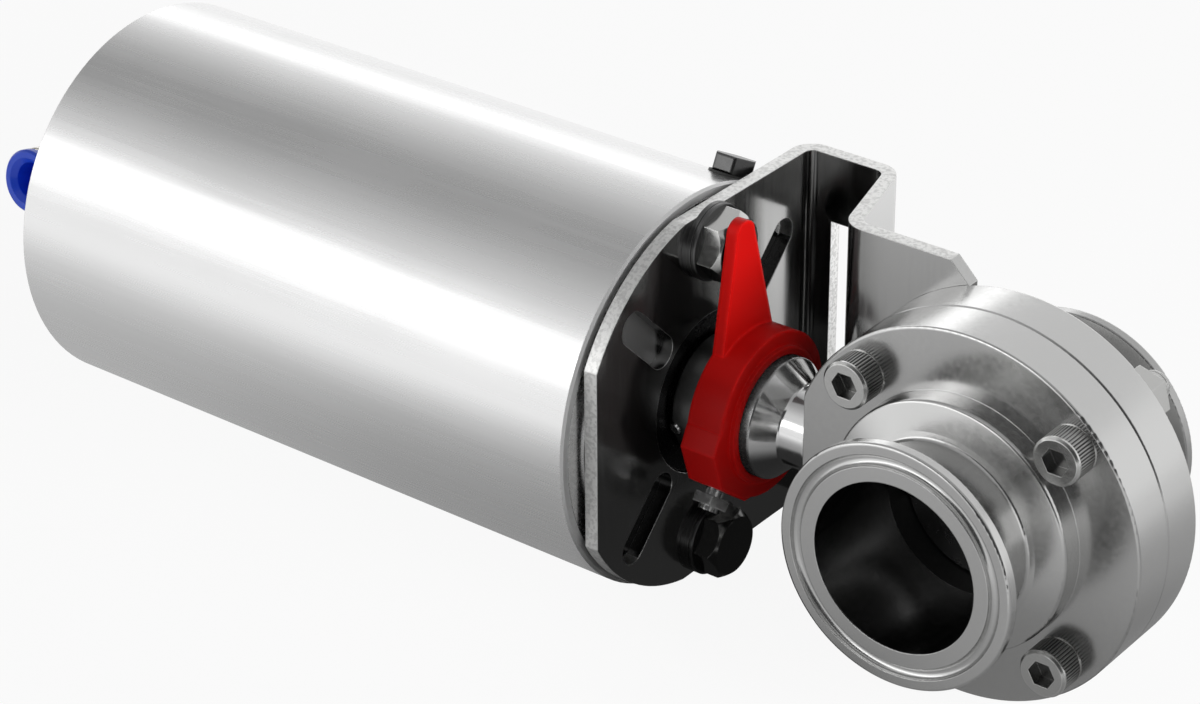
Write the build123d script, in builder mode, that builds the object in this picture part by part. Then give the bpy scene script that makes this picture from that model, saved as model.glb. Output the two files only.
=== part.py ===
from build123d import *
from math import cos, radians, sin, sqrt, tan
import os

# Pneumatic butterfly valve with a cylinder actuator on a folded bracket.
# Millimetres. The origin is the centre of the front ferrule's face, X runs
# along the stem away from the actuator, Y along the pipeline to the rear
# port, Z up. The disc is closed.

os.makedirs("parts", exist_ok=True)

# Fits
running = 0.08
fixed = 0.05
slide_gap = 0.4
groove_clear = 0.1

# The two diameters that the rest follows
flange_radius = 38.75
tube_radius = 42.3
tube_wall = 2.0
tube_bore = tube_radius - tube_wall

# Valve body
face_to_face = 66.0
valve_y = face_to_face / 2
ferrule_radius = 25.25
port_radius = 17.5
neck_radius = 19.05
groove_radius = 21.75
groove_wire = 1.2
rim_end_y = 2.4
back_taper = 20.0
screw_edge = 6.25
screw_pitch_radius = flange_radius - screw_edge
boss_radius = screw_pitch_radius - 6.5
boss_top_y = 18.0
boss_crease_radius = 20.5
boss_crease_y = 16.2
flange_thick = 10.3
flange_y = valve_y - flange_thick
flange_flat_x = flange_radius - 2.85
seam_chamfer = 0.35
seat_radius = 23.2
seat_half_width = 8.0
seat_crown = 17.2
pocket_clear = 0.1
screw_hole_radius = 3.3

# Disc and stem
disc_radius = 17.1
disc_thick = 5.0
hub_radius = 5.6
stem_radius = 5.0
bush_low_end = flange_radius - 8.25
stem_low_x = bush_low_end + 0.5
stem_high_x = flange_flat_x + 1.1
square_side = 8.0
square_end_x = stem_high_x + 13.0
bush_radius = 6.9
bush_in_x = seat_radius + 0.2

# Body screws and nuts
screw_head_radius = 4.95
screw_head_high = 6.0
screw_radius = 3.0
screw_long = 30.0
screw_socket = 5.0
nut_flats = 10.0
nut_high = 5.2

# Bracket
sheet = 3.0
bracket_half = tube_radius - 1.8
plate_x = 67.5
plate_low_y = 6.0 - tube_radius
web_y = 35.5
step_x = 47.2
fork_x = 40.8
fork_y = flange_thick + sheet / 2
fork_end_x = 13.0
bend_tight = 3.5
bend_wide = 4.0
plate_arc = tube_radius - 1.0
plate_arc_y = -8.0
slot_width = 7.0
slot_out = tube_radius - 7.3
slot_in = slot_out - 13.0
bolt_inset = 8.5
bolt_z = tube_radius - bolt_inset
bolt_hole_radius = 4.3
window_x = 56.5
window_wide = 8.0
window_half = 25.7
fork_arc = boss_radius + 0.5
fork_chamfer = 4.3

# Bolts of the bracket
bolt_radius = 4.0
bolt_flats = 13.0
bolt_turn_high = 12.0
bolt_turn_low = 0.0
bolt_head_high = 5.1
bolt_face_radius = 6.2
bolt_bevel = 40.0
bolt_long = 12.0
washer_radius = 8.0
washer_thick = 1.0

# Actuator
tube_back_x = -217.0
tube_front_x = -70.0
tube_chamfer = 0.5
cap_radius = tube_bore - 0.1
cap_in_x = -82.0
pad_radius = tube_bore - 4.5
pad_x = -plate_x - sheet / 2
spigot_x = -66.6
rear_cap_in_x = -207.5
rear_cap_out_x = -214.6
snap_thick = 1.5
snap_in = tube_bore - 2.7
snap_out = tube_bore + 0.7
snap_gap_angle = 300.0
snap_gap_wide = 3.0
snap_lug_radius = 3.0
snap_lug_turn = 7.0
snap_hole_radius = 1.0

# Cam drive: the piston's cross pin turns the cam shaft through two slots
stroke = 36.0
turn = 90.0
spring_clear = 8.8
spring_mean = tube_bore - spring_clear
spring_wire = 2.25
spring_turns = 6.0
spring_gap = 0.3
sleeve_wall = 3.6
sleeve_flange = spring_mean - 3.0
sleeve_flange_thick = 4.0
sleeve_screw_ring = sleeve_flange - 3.0
sleeve_radius = sleeve_flange - 6.0
sleeve_bore = sleeve_radius - sleeve_wall
sleeve_end_x = -146.0
skirt_radius = sleeve_bore - slide_gap
skirt_bore = skirt_radius - sleeve_wall
skirt_front_x = -132.0
cam_slot = 8.3
cam_radius = skirt_bore - slide_gap
cam_bore = cam_radius - 5.0
cam_end_x = -150.0
collar_radius = cam_radius + 1.5
collar_x = -86.0
thrust_thick = 1.0
pin_radius = 4.0
pin_half = sleeve_radius - 0.2
pin_x = -140.0
sleeve_screw_head = 2.75
sleeve_screw_high = 3.0
sleeve_screw_radius = 1.5
sleeve_screw_long = 10.0
piston_radius = tube_bore - running
piston_front_x = -184.0
piston_back_x = -198.0
piston_recess_x = -190.0
piston_seal_at = 4.5
piston_seal_wide = 3.9
piston_seal_deep = 3.6
wear_ring_at = 10.2
wear_ring_wide = 3.5
wear_ring_deep = 1.9

# Coupling and indicator
shaft_radius = cam_radius - 4.5
coupling_radius = shaft_radius + 2.6
coupling_back_x = -65.9
coupling_front_x = -stem_high_x
coupling_cone_x = coupling_front_x - 10.5
coupling_neck_radius = 8.5
coupling_neck_x = coupling_front_x - 6.2
socket_side = 8.2
socket_end_x = -square_end_x - 1.0
shaft_end_x = socket_end_x - 2.6
cross_pin_radius = 1.25
cross_pin_x = -64.9
cross_pin_angle = 192.0
cross_pin_half = coupling_radius + 0.5
ring_radius = coupling_radius + 4.7
ring_lip_radius = coupling_radius + 1.7
ring_back_x = -58.6
ring_front_x = -50.5
lip_front_x = -49.5
pointer_front_x = -56.0
pointer_angle = 93.0
pointer_tip = 38.8
pointer_tip_radius = 2.95
pointer_root = 11.0
pointer_root_half = 9.2
clamp_angle = 232.0
clamp_face = 17.9
clamp_x = -56.0
clamp_screw_radius = 2.0
clamp_nut_flats = 7.0
clamp_nut_high = 2.2
clamp_nut_low = 19.3
clamp_screw_tip = 22.4
clamp_screw_root = 13.4
# the clamp lug's outline on the front side of the ring, in Y and Z
lug_top = [(-15, 3), (-17.2, 3), (-19.3, -1.2)]
lug_bottom = [(-16.5, -9.8), (-8.9, -15.8), (-6, -16), (-6, -5)]

# Output bush and seals
spigot_radius = shaft_radius + 7.0
centre_hole = spigot_radius + 0.3
bush_wall_radius = shaft_radius + 2.95
bush_out_x = -72.0
seal_wire = 1.15
seal_groove_wide = 2.7
seal_groove_deep = 2.25
seal_inset = 2.7
lip_radius = shaft_radius + 0.25
lip_thick = 0.8
shaft_groove_wide = 2.8
shaft_groove_radius = shaft_radius + 2.5

# Vent plug
vent_angle = 63.0
vent_x = -74.9
vent_radius = 2.5
vent_flats = 8.0
vent_high = 3.6
vent_washer_radius = 4.7
vent_washer_thick = 0.6
vent_spot = 0.3
vent_stem = 6.0
vent_drill = cap_radius - 6.7
vent_ring = cap_radius - 4.7
vent_passage = 1.2

# Elbow fitting
outlet_x = -235.0
outlet_tilt = 12.7
stud_radius = 4.85
stud_flats = 14.0
stud_top_x = -222.0
stud_washer = 1.0
stud_neck_radius = 4.5
stud_neck_x = -231.0
stud_bore = 2.5
elbow_radius = 7.2
elbow_end_x = -242.2
arm_radius = 7.0
arm_long = 20.3
elbow_bore = 2.6
air_tube_radius = 4.05
tube_stop = 6.0
tube_seal_at = 9.5
tube_seal_thick = 1.6
grab_ring_at = 11.3
grab_ring_thick = 0.5
collar_travel = 1.0
collar_sleeve = 5.4
collar_face = 23.5
collar_flange = 7.0
collar_flange_thick = 2.0
collar_funnel = 1.2


def pipe_plane(y):
    # local (x, z), extrusions run towards the front port
    return Plane(origin=(0, y, 0), x_dir=(1, 0, 0), z_dir=(0, -1, 0))


def stem_plane(x):
    # local (y from the stem axis, z), extrusions run away from the actuator
    return Plane(origin=(x, valve_y, 0), x_dir=(0, 1, 0), z_dir=(1, 0, 0))


def radial_plane(x, angle, distance):
    # on the stem axis, facing outward at this angle from +Y towards +Z
    out = (0, cos(radians(angle)), sin(radians(angle)))
    start = (x, valve_y + distance * out[1], distance * out[2])
    return Plane(origin=start, x_dir=(1, 0, 0), z_dir=out)


stem_axis = Axis((0, valve_y, 0), (1, 0, 0))
joint_plane = Plane(origin=(0, valve_y, 0), z_dir=(0, 1, 0))
screw_spread = screw_pitch_radius / sqrt(2)
screw_corners = [(a, b) for a in (-screw_spread, screw_spread) for b in (-screw_spread, screw_spread)]
bolt_places = [(0, -bolt_z), (0, bolt_z)]

# Front half of the valve body: ferrule, neck, boss and flange in one turning
taper_y = rim_end_y + (ferrule_radius - neck_radius) * tan(radians(back_taper))
seat_y = valve_y - seat_half_width - pocket_clear
body_points = [
    (port_radius, 0),
    (ferrule_radius, 0),
    (ferrule_radius, rim_end_y),
    (neck_radius, taper_y),
    (neck_radius, boss_crease_y - 0.6),
    (boss_crease_radius, boss_crease_y),
    (boss_radius, boss_top_y),
    (boss_radius, flange_y),
    (flange_radius, flange_y),
    (flange_radius, valve_y),
    (seat_radius + pocket_clear, valve_y),
    (seat_radius + pocket_clear, seat_y),
    (port_radius, seat_y),
]
body_rounds = [0, 0.6, 0.4, 2.0, 0.8, 0, 0.8, 0, 0.5, 0, 0, 0, 0]
with BuildPart() as front_body_half:
    with BuildSketch():
        with BuildLine():
            FilletPolyline(*body_points, radius=body_rounds, close=True)
        make_face()
        with Locations((groove_radius, 0.1)):
            Circle(groove_wire, mode=Mode.SUBTRACT)
    revolve(axis=Axis.Y)
    # flat on the actuator side, and the seam's small chamfer
    with BuildSketch(pipe_plane(valve_y)):
        with Locations((-flange_flat_x - flange_radius / 2, 0)):
            Rectangle(flange_radius, 2 * flange_radius)
    extrude(amount=flange_thick + 0.5, mode=Mode.SUBTRACT)
    seam = front_body_half.edges().filter_by_position(Axis.Y, valve_y - 0.01, valve_y + 0.01)
    chamfer(seam.sort_by(SortBy.LENGTH)[-1], seam_chamfer)
    with BuildSketch(pipe_plane(valve_y)):
        with Locations(*screw_corners):
            Circle(screw_hole_radius)
    extrude(amount=flange_thick, mode=Mode.SUBTRACT)
    # half round seats of the two stem bushes
    with BuildSketch(stem_plane(-flange_radius)):
        Circle(bush_radius + fixed)
    extrude(amount=flange_radius, mode=Mode.SUBTRACT)
    with BuildSketch(stem_plane(0)):
        Circle(bush_radius + fixed)
    extrude(amount=stem_low_x + 0.5, mode=Mode.SUBTRACT)
front_body_half.part.label = "front_body_half"
export_step(front_body_half.part, "parts/front_body_half.step")

with BuildPart() as rear_body_half:
    mirror(front_body_half.part, about=joint_plane)
rear_body_half.part.label = "rear_body_half"
export_step(rear_body_half.part, "parts/rear_body_half.step")

# Rubber seat with a crowned bore and the two stem holes
with BuildPart() as seat:
    with BuildSketch():
        with BuildLine():
            outer = Polyline(
                (port_radius, valve_y - seat_half_width),
                (seat_radius, valve_y - seat_half_width),
                (seat_radius, valve_y + seat_half_width),
                (port_radius, valve_y + seat_half_width),
            )
            ThreePointArc(outer @ 1, (seat_crown, valve_y), outer @ 0)
        make_face()
    revolve(axis=Axis.Y)
    with BuildSketch(stem_plane(-seat_radius - 1)):
        Circle(stem_radius + running)
    extrude(amount=2 * seat_radius + 2, mode=Mode.SUBTRACT)
seat.part.label = "seat"
export_step(seat.part, "parts/seat.step")

# Disc and stem in one piece: a slice of a ball with a hub along the stem
with BuildPart() as disc_and_stem:
    with Locations((0, valve_y, 0)):
        Sphere(disc_radius)
    with BuildSketch(stem_plane(-disc_radius)) as disc_section:
        Rectangle(disc_thick, 2 * disc_radius)
        Circle(hub_radius)
    extrude(amount=2 * disc_radius, mode=Mode.INTERSECT)
    with BuildSketch(stem_plane(-stem_high_x)):
        Circle(stem_radius)
    extrude(amount=stem_high_x + stem_low_x)
    with BuildSketch(stem_plane(-square_end_x)):
        Circle(stem_radius)
        Rectangle(square_side, square_side, mode=Mode.INTERSECT)
    extrude(amount=square_end_x - stem_high_x)
disc_and_stem.part.label = "disc_and_stem"
export_step(disc_and_stem.part, "parts/disc_and_stem.step")

with BuildPart() as upper_stem_bush:
    with BuildSketch(stem_plane(-flange_flat_x)):
        Circle(bush_radius)
        Circle(stem_radius + running, mode=Mode.SUBTRACT)
    extrude(amount=flange_flat_x - bush_in_x)
upper_stem_bush.part.label = "upper_stem_bush"
export_step(upper_stem_bush.part, "parts/upper_stem_bush.step")

with BuildPart() as lower_stem_bush:
    with BuildSketch(stem_plane(bush_in_x)):
        Circle(bush_radius)
        Circle(stem_radius + running, mode=Mode.SUBTRACT)
    extrude(amount=bush_low_end - bush_in_x)
lower_stem_bush.part.label = "lower_stem_bush"
export_step(lower_stem_bush.part, "parts/lower_stem_bush.step")

# Four socket screws, heads on the front flange
with BuildPart() as body_screws:
    with BuildSketch(pipe_plane(flange_y)):
        with Locations(*screw_corners):
            Circle(screw_head_radius)
    extrude(amount=screw_head_high)
    chamfer(body_screws.faces().filter_by(Axis.Y).group_by(Axis.Y)[0].edges(), 0.5)
    with BuildSketch(pipe_plane(flange_y - screw_head_high)):
        with Locations(*screw_corners):
            RegularPolygon(screw_socket / 2, 6, major_radius=False)
    extrude(amount=-screw_socket * 0.6, mode=Mode.SUBTRACT)
    with BuildSketch(pipe_plane(flange_y)):
        with Locations(*screw_corners):
            Circle(screw_radius)
    extrude(amount=-screw_long)
body_screws.part.label = "body_screws"
export_step(body_screws.part, "parts/body_screws.step")

# Nuts: two on the flange itself, two on the bracket's fork
with BuildPart() as body_nuts:
    for side, start in ((1, valve_y + flange_thick), (-1, valve_y + flange_thick + sheet)):
        with BuildSketch(pipe_plane(start)):
            with Locations((side * screw_spread, screw_spread)):
                RegularPolygon(nut_flats / 2, 6, major_radius=False, rotation=-15)
            with Locations((side * screw_spread, -screw_spread)):
                RegularPolygon(nut_flats / 2, 6, major_radius=False, rotation=15)
            with Locations((side * screw_spread, screw_spread), (side * screw_spread, -screw_spread)):
                Circle(screw_radius + fixed, mode=Mode.SUBTRACT)
        extrude(amount=-nut_high)
body_nuts.part.label = "body_nuts"
export_step(body_nuts.part, "parts/body_nuts.step")

# Bracket: one folded sheet from the cylinder's cap round to the rear flange
with BuildPart() as mounting_bracket:
    with BuildSketch():
        with BuildLine():
            FilletPolyline(
                (-plate_x, valve_y + plate_low_y),
                (-plate_x, valve_y + web_y),
                (-step_x, valve_y + web_y),
                (-fork_x, valve_y + fork_y),
                (-fork_end_x, valve_y + fork_y),
                radius=[bend_tight, bend_wide, bend_wide],
            )
        trace(line_width=sheet)
    extrude(amount=bracket_half, both=True)
    # cap plate: round on the front side, a centre hole, slots and bolt holes
    with BuildSketch(stem_plane(-plate_x)):
        with Locations((plate_arc_y - tube_radius, 0)):
            Rectangle(2 * tube_radius, 4 * tube_radius)
        Circle(plate_arc, mode=Mode.SUBTRACT)
    extrude(amount=sheet, both=True, mode=Mode.SUBTRACT)
    with BuildSketch(stem_plane(-plate_x)):
        Circle(centre_hole)
        with Locations(*bolt_places):
            Circle(bolt_hole_radius)
        for angle in (45, 135, 225, 315):
            with Locations(Rotation(0, 0, angle) * Location(((slot_in + slot_out) / 2, 0))):
                SlotCenterToCenter(slot_out - slot_in, slot_width)
    extrude(amount=sheet, both=True, mode=Mode.SUBTRACT)
    # window in the web for the pointer
    with BuildSketch(pipe_plane(valve_y + web_y)):
        with Locations((-window_x, 0)):
            Rectangle(window_wide, 2 * window_half)
    extrude(amount=sheet, both=True, mode=Mode.SUBTRACT)
    # fork round the rear boss, with its two screw holes
    with BuildSketch(pipe_plane(valve_y + fork_y)):
        Circle(fork_arc)
        with Locations((-screw_spread, screw_spread), (-screw_spread, -screw_spread)):
            Circle(screw_hole_radius)
    extrude(amount=sheet, both=True, mode=Mode.SUBTRACT)
    tips = mounting_bracket.edges().filter_by(Axis.Y).group_by(Axis.X)[-1]
    chamfer([tips.sort_by(Axis.Z)[0], tips.sort_by(Axis.Z)[-1]], fork_chamfer)
mounting_bracket.part.label = "mounting_bracket"
export_step(mounting_bracket.part, "parts/mounting_bracket.step")

# Coupling between the cam shaft and the stem
with BuildPart() as coupling:
    with BuildSketch():
        with BuildLine():
            FilletPolyline(
                (coupling_back_x, valve_y),
                (coupling_back_x, valve_y + coupling_radius),
                (coupling_cone_x, valve_y + coupling_radius),
                (coupling_neck_x, valve_y + coupling_neck_radius),
                (coupling_front_x, valve_y + coupling_neck_radius),
                (coupling_front_x, valve_y),
                radius=[0, 0.5, 0.5, 0.8, 0.6, 0],
                close=True,
            )
        make_face()
    revolve(axis=stem_axis)
    with BuildSketch(stem_plane(coupling_back_x)):
        Circle(shaft_radius + fixed)
    extrude(amount=shaft_end_x + 0.1 - coupling_back_x, mode=Mode.SUBTRACT)
    with BuildSketch(stem_plane(socket_end_x)):
        Rectangle(socket_side, socket_side)
    extrude(amount=coupling_front_x - socket_end_x, mode=Mode.SUBTRACT)
    # notches for the cross pin, open at the rear edge
    with BuildSketch(radial_plane(cross_pin_x, cross_pin_angle, 0)):
        Circle(cross_pin_radius + fixed)
        with Locations((-2, 0)):
            Rectangle(4, 2 * (cross_pin_radius + fixed))
    extrude(amount=coupling_radius + 1, both=True, mode=Mode.SUBTRACT)
coupling.part.label = "coupling"
export_step(coupling.part, "parts/coupling.step")

with BuildPart() as coupling_pin:
    with BuildSketch(radial_plane(cross_pin_x, cross_pin_angle, 0)):
        Circle(cross_pin_radius)
    extrude(amount=cross_pin_half, both=True)
    chamfer(coupling_pin.edges().filter_by(GeomType.CIRCLE), 0.3)
coupling_pin.part.label = "coupling_pin"
export_step(coupling_pin.part, "parts/coupling_pin.step")

# Red indicator: clamp ring, raised lip, pointer and lug
ring_bore = coupling_radius + fixed
with BuildPart() as position_indicator:
    with BuildSketch(stem_plane(ring_back_x)):
        Circle(ring_radius)
        with BuildLine():
            Polyline(*lug_top, *lug_bottom, close=True)
        make_face()
    extrude(amount=ring_front_x - ring_back_x)
    with BuildSketch(stem_plane(ring_back_x)):
        with BuildLine(Plane.XY.rotated((0, 0, pointer_angle))):
            Polyline(
                (pointer_root, -pointer_root_half),
                (pointer_tip, -pointer_tip_radius),
                (pointer_tip, pointer_tip_radius),
                (pointer_root, pointer_root_half),
                close=True,
            )
        make_face()
        with Locations(Rotation(0, 0, pointer_angle) * Location((pointer_tip, 0))):
            Circle(pointer_tip_radius)
    extrude(amount=pointer_front_x - ring_back_x)
    with BuildSketch(stem_plane(ring_front_x)):
        Circle(ring_lip_radius)
    extrude(amount=lip_front_x - ring_front_x)
    with BuildSketch(stem_plane(ring_back_x)):
        Circle(ring_bore)
    extrude(amount=lip_front_x - ring_back_x, mode=Mode.SUBTRACT)
    with BuildSketch(radial_plane(clamp_x, clamp_angle, 0)):
        Circle(clamp_screw_radius + fixed)
    extrude(amount=tube_radius, mode=Mode.SUBTRACT)
position_indicator.part.label = "position_indicator"
export_step(position_indicator.part, "parts/position_indicator.step")

with BuildPart() as indicator_screw:
    with BuildSketch(radial_plane(clamp_x, clamp_angle, clamp_screw_root)):
        Circle(clamp_screw_radius)
    extrude(amount=clamp_screw_tip - clamp_screw_root)
indicator_screw.part.label = "indicator_screw"
export_step(indicator_screw.part, "parts/indicator_screw.step")

with BuildPart() as indicator_nut:
    with BuildSketch(radial_plane(clamp_x, clamp_angle, clamp_nut_low)):
        RegularPolygon(clamp_nut_flats / 2, 6, major_radius=False)
        Circle(clamp_screw_radius + fixed, mode=Mode.SUBTRACT)
    extrude(amount=clamp_nut_high)
indicator_nut.part.label = "indicator_nut"
export_step(indicator_nut.part, "parts/indicator_nut.step")

# Two hexagon bolts through the bracket into the cap, each on two thin washers
plate_front_x = -plate_x + sheet / 2
bolt_seat_x = plate_front_x + 2 * washer_thick
with BuildPart() as bracket_bolts:
    with BuildSketch(stem_plane(bolt_seat_x)):
        with Locations((0, bolt_z)):
            RegularPolygon(bolt_flats / 2, 6, major_radius=False, rotation=bolt_turn_high)
        with Locations((0, -bolt_z)):
            RegularPolygon(bolt_flats / 2, 6, major_radius=False, rotation=bolt_turn_low)
    extrude(amount=bolt_head_high)
    # the bevel rounds off the corners towards the top face
    bevel_root = bolt_face_radius + bolt_head_high * tan(radians(bolt_bevel))
    with BuildSketch(stem_plane(bolt_seat_x)):
        with Locations(*bolt_places):
            Circle(bevel_root)
    extrude(amount=bolt_head_high, taper=bolt_bevel, mode=Mode.INTERSECT)
    with BuildSketch(stem_plane(bolt_seat_x)):
        with Locations(*bolt_places):
            Circle(bolt_radius)
    extrude(amount=-bolt_long)
bracket_bolts.part.label = "bracket_bolts"
export_step(bracket_bolts.part, "parts/bracket_bolts.step")

with BuildPart() as bracket_washers:
    with BuildSketch(stem_plane(plate_front_x)):
        with Locations(*bolt_places):
            Circle(washer_radius)
            Circle(bolt_hole_radius, mode=Mode.SUBTRACT)
    extrude(amount=washer_thick)
bracket_washers.part.label = "bracket_washers"
export_step(bracket_washers.part, "parts/bracket_washers.step")

with BuildPart() as head_washers:
    with BuildSketch(stem_plane(plate_front_x + washer_thick)):
        with Locations(*bolt_places):
            Circle(washer_radius)
            Circle(bolt_hole_radius, mode=Mode.SUBTRACT)
    extrude(amount=washer_thick)
    rounds = head_washers.edges().filter_by(GeomType.CIRCLE)
    chamfer(rounds.filter_by(lambda e: e.radius > bolt_flats / 2), 0.2)
head_washers.part.label = "head_washers"
export_step(head_washers.part, "parts/head_washers.step")

# Actuator tube, with the vent's hole
snap_x = rear_cap_out_x - fixed
with BuildPart() as actuator_tube:
    with BuildSketch(stem_plane(tube_back_x)):
        Circle(tube_radius)
        Circle(tube_bore, mode=Mode.SUBTRACT)
    extrude(amount=tube_front_x - tube_back_x)
    ends = actuator_tube.edges().filter_by(GeomType.CIRCLE).sort_by(SortBy.RADIUS)[-2:]
    chamfer(ends, tube_chamfer)
    # groove of the snap ring behind the rear cap
    with BuildSketch(stem_plane(snap_x + fixed)):
        Circle(snap_out + fixed)
    extrude(amount=-snap_thick - 2 * fixed, mode=Mode.SUBTRACT)
    with BuildSketch(radial_plane(vent_x, vent_angle, 0)):
        Circle(vent_radius + fixed)
    extrude(amount=tube_radius + 1, mode=Mode.SUBTRACT)
    # a small spot face gives the round vent washer its flat
    with BuildSketch(radial_plane(vent_x, vent_angle, tube_radius - vent_spot)):
        Circle(vent_washer_radius + fixed)
    extrude(amount=1, mode=Mode.SUBTRACT)
actuator_tube.part.label = "actuator_tube"
export_step(actuator_tube.part, "parts/actuator_tube.step")

# Front cap: pad and spigot outside, bush bore and shaft seal groove inside
seal_low_x = bush_out_x + lip_thick
seal_high_x = seal_low_x + shaft_groove_wide
cap_seal_x = cap_in_x + seal_inset
with BuildPart() as front_cap:
    with BuildSketch():
        with BuildLine():
            Polyline(
                (cap_in_x, valve_y + bush_wall_radius + fixed),
                (cap_in_x, valve_y + cap_radius),
                (tube_front_x, valve_y + cap_radius),
                (tube_front_x, valve_y + pad_radius),
                (pad_x, valve_y + pad_radius),
                (pad_x, valve_y + spigot_radius),
                (spigot_x, valve_y + spigot_radius),
                (spigot_x, valve_y + lip_radius),
                (seal_high_x, valve_y + lip_radius),
                (seal_high_x, valve_y + shaft_groove_radius),
                (seal_low_x, valve_y + shaft_groove_radius),
                (seal_low_x, valve_y + lip_radius),
                (bush_out_x, valve_y + lip_radius),
                (bush_out_x, valve_y + bush_wall_radius + fixed),
                close=True,
            )
        make_face()
        with Locations((cap_seal_x, valve_y + cap_radius)):
            Rectangle(seal_groove_wide, 2 * seal_groove_deep, mode=Mode.SUBTRACT)
    revolve(axis=stem_axis)
    with BuildSketch(stem_plane(bolt_seat_x - bolt_long - 0.3)):
        with Locations(*bolt_places):
            Circle(bolt_radius + fixed)
    extrude(amount=bolt_long, mode=Mode.SUBTRACT)
    with BuildSketch(stem_plane(cap_in_x)):
        with PolarLocations(sleeve_screw_ring, 4, 45):
            Circle(sleeve_screw_radius + fixed)
    extrude(amount=sleeve_screw_long - sleeve_flange_thick + 0.3, mode=Mode.SUBTRACT)
    # vent: a radial hole under the plug and a passage to the spring side
    with BuildSketch(radial_plane(vent_x, vent_angle, vent_drill)):
        Circle(vent_radius + fixed)
    extrude(amount=10, mode=Mode.SUBTRACT)
    with BuildSketch(stem_plane(cap_in_x)):
        with Locations(Rotation(0, 0, vent_angle) * Location((vent_ring, 0))):
            Circle(vent_passage)
    extrude(amount=vent_x - cap_in_x, mode=Mode.SUBTRACT)
front_cap.part.label = "front_cap"
export_step(front_cap.part, "parts/front_cap.step")

# Rear cap with the fitting's hole and a seal groove
rear_seal_x = rear_cap_in_x - seal_inset
with BuildPart() as rear_cap:
    with BuildSketch():
        with BuildLine():
            Polyline(
                (rear_cap_out_x, valve_y + stud_radius + fixed),
                (rear_cap_out_x, valve_y + cap_radius),
                (rear_cap_in_x, valve_y + cap_radius),
                (rear_cap_in_x, valve_y + stud_radius + fixed),
                close=True,
            )
        make_face()
        with Locations((rear_seal_x, valve_y + cap_radius)):
            Rectangle(seal_groove_wide, 2 * seal_groove_deep, mode=Mode.SUBTRACT)
    revolve(axis=stem_axis)
rear_cap.part.label = "rear_cap"
export_step(rear_cap.part, "parts/rear_cap.step")

# Snap ring with two lugs beside its gap
lug_ring = snap_in + 0.4
with BuildPart() as rear_retaining_ring:
    with BuildSketch(stem_plane(snap_x)):
        Circle(snap_out)
        Circle(snap_in, mode=Mode.SUBTRACT)
        for angle in (snap_gap_angle - snap_lug_turn, snap_gap_angle + snap_lug_turn):
            with Locations(Rotation(0, 0, angle) * Location((lug_ring, 0))):
                Circle(snap_lug_radius)
        with Locations(Rotation(0, 0, snap_gap_angle) * Location((lug_ring, 0))):
            Rectangle(4 * snap_lug_radius, snap_gap_wide, mode=Mode.SUBTRACT)
        for angle in (snap_gap_angle - snap_lug_turn, snap_gap_angle + snap_lug_turn):
            with Locations(Rotation(0, 0, angle) * Location((lug_ring - 0.6, 0))):
                Circle(snap_hole_radius, mode=Mode.SUBTRACT)
    extrude(amount=-snap_thick)
rear_retaining_ring.part.label = "rear_retaining_ring"
export_step(rear_retaining_ring.part, "parts/rear_retaining_ring.step")

# Round seals are rings about the stem axis
cap_seal_centre = tube_bore - seal_wire - fixed
with BuildPart() as front_cap_seal:
    with BuildSketch():
        with Locations((cap_seal_x, valve_y + cap_seal_centre)):
            Circle(seal_wire)
    revolve(axis=stem_axis)
front_cap_seal.part.label = "front_cap_seal"
export_step(front_cap_seal.part, "parts/front_cap_seal.step")

with BuildPart() as rear_cap_seal:
    with BuildSketch():
        with Locations((rear_seal_x, valve_y + cap_seal_centre)):
            Circle(seal_wire)
    revolve(axis=stem_axis)
rear_cap_seal.part.label = "rear_cap_seal"
export_step(rear_cap_seal.part, "parts/rear_cap_seal.step")

with BuildPart() as output_shaft_seal:
    with BuildSketch():
        with Locations(((seal_low_x + seal_high_x) / 2, valve_y + shaft_radius + seal_wire + fixed)):
            Circle(seal_wire)
    revolve(axis=stem_axis)
output_shaft_seal.part.label = "output_shaft_seal"
export_step(output_shaft_seal.part, "parts/output_shaft_seal.step")

with BuildPart() as output_bush:
    with BuildSketch(stem_plane(cap_in_x)):
        Circle(bush_wall_radius)
        Circle(shaft_radius + running, mode=Mode.SUBTRACT)
    extrude(amount=bush_out_x - cap_in_x - 0.1)
output_bush.part.label = "output_bush"
export_step(output_bush.part, "parts/output_bush.step")

with BuildPart() as thrust_washer:
    with BuildSketch(stem_plane(cap_in_x)):
        Circle(collar_radius + 1)
        Circle(shaft_radius + 0.1, mode=Mode.SUBTRACT)
    extrude(amount=-thrust_thick)
thrust_washer.part.label = "thrust_washer"
export_step(thrust_washer.part, "parts/thrust_washer.step")

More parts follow.
